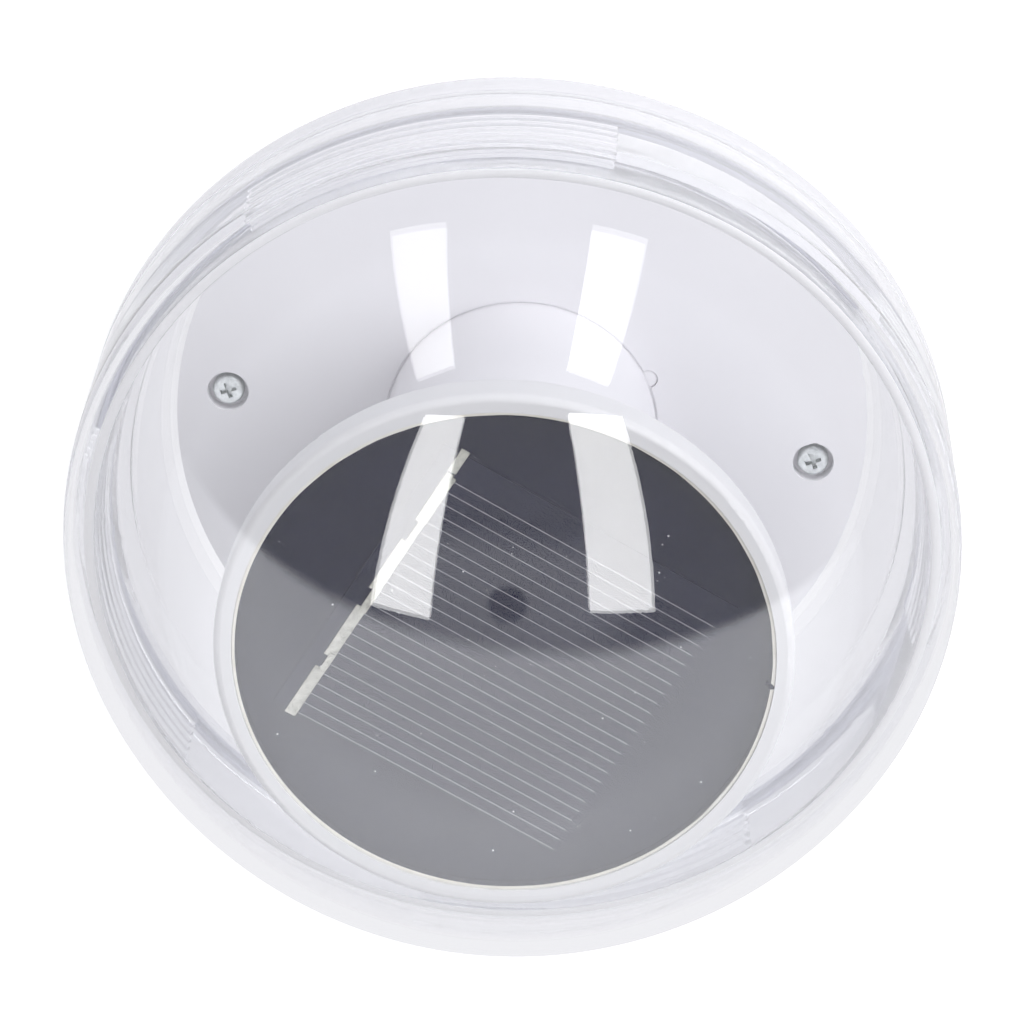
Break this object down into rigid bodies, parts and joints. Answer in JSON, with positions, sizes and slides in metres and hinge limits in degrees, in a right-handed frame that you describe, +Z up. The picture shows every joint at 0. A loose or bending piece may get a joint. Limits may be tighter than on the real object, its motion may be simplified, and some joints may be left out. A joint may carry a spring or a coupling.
{
  "type": "floating pool light",
  "caption": "Clear two-part floating ball light with a white inner pedestal, a round solar panel, a lamp board and a rechargeable cell, on a flat foot.",
  "frame": {"origin": "centre of the flat foot under the bowl", "axes": "+Z up along the ball's axis; +X towards the first plate screw; the slide switch is at +Y"},
  "size_m": [0.11, 0.11, 0.107],
  "materials": {
    "clear_shell": "clear moulded plastic, polished",
    "seal": "soft translucent rubber",
    "white_plastic": "satin white moulded plastic",
    "white_gloss": "glossy white moulded plastic",
    "zinc_screw": "zinc-plated steel",
    "panel_black": "black glass-fibre board",
    "silicon": "dark coated silicon",
    "ribbon": "tinned copper ribbon",
    "resin": "clear glossy potting resin",
    "sealant": "cured cream sealant",
    "lead_red": "red wire insulation",
    "lead_black": "black wire insulation",
    "board": "white solder mask on glass-fibre board",
    "solder": "bright solder and tin",
    "lamp": "clear epoxy lamp body",
    "black_plastic": "black moulded plastic",
    "ferrite": "ferrite",
    "copper": "enamelled copper wire",
    "can": "bright metal can",
    "nickel": "nickel-plated steel",
    "battery_wrap": "plain green shrink sleeve"
  },
  "bodies": {
    "base": {"bowl": "clear_shell", "mounting_plate": "white_plastic", "plate_screws": "zinc_screw", "pedestal": "white_plastic", "pedestal_screws": "zinc_screw", "panel_holder": "white_gloss", "panel_board": "panel_black", "solar_cell": "silicon", "cell_ribbon": "ribbon", "panel_resin": "resin", "panel_sealant": "sealant", "panel_lead_red": "lead_red", "panel_lead_black": "lead_black", "circuit_board": "board", "board_screws": "zinc_screw", "lamp_lenses": "lamp", "solder_joints": "solder", "controller_chip": "black_plastic", "chip_legs": "solder", "inductor_core": "ferrite", "inductor_winding": "copper", "capacitor": "can", "resistors": "black_plastic", "switch_body": "can", "battery_holder": "black_plastic", "battery_spring": "nickel", "battery_contact": "nickel", "battery": "battery_wrap"},
    "seal": {"seal_ring": "seal"},
    "dome": {"dome": "clear_shell"},
    "switch": {"switch_knob": "black_plastic"}
  },
  "joints": [
    {"name": "dome_twist", "type": "hinge", "parent": "base", "child": "seal", "pos_m": [0, 0, 0.0544], "axis": [0, 0, 1], "range_deg": [0, 45]},
    {"name": "dome_lift", "type": "slide", "parent": "seal", "child": "dome", "axis": [0, 0, 1], "range_m": [0, 0.06]},
    {"name": "switch_slide", "type": "slide", "parent": "base", "child": "switch", "axis": [1, 0, 0], "range_m": [0, 0.003]}
  ]
}
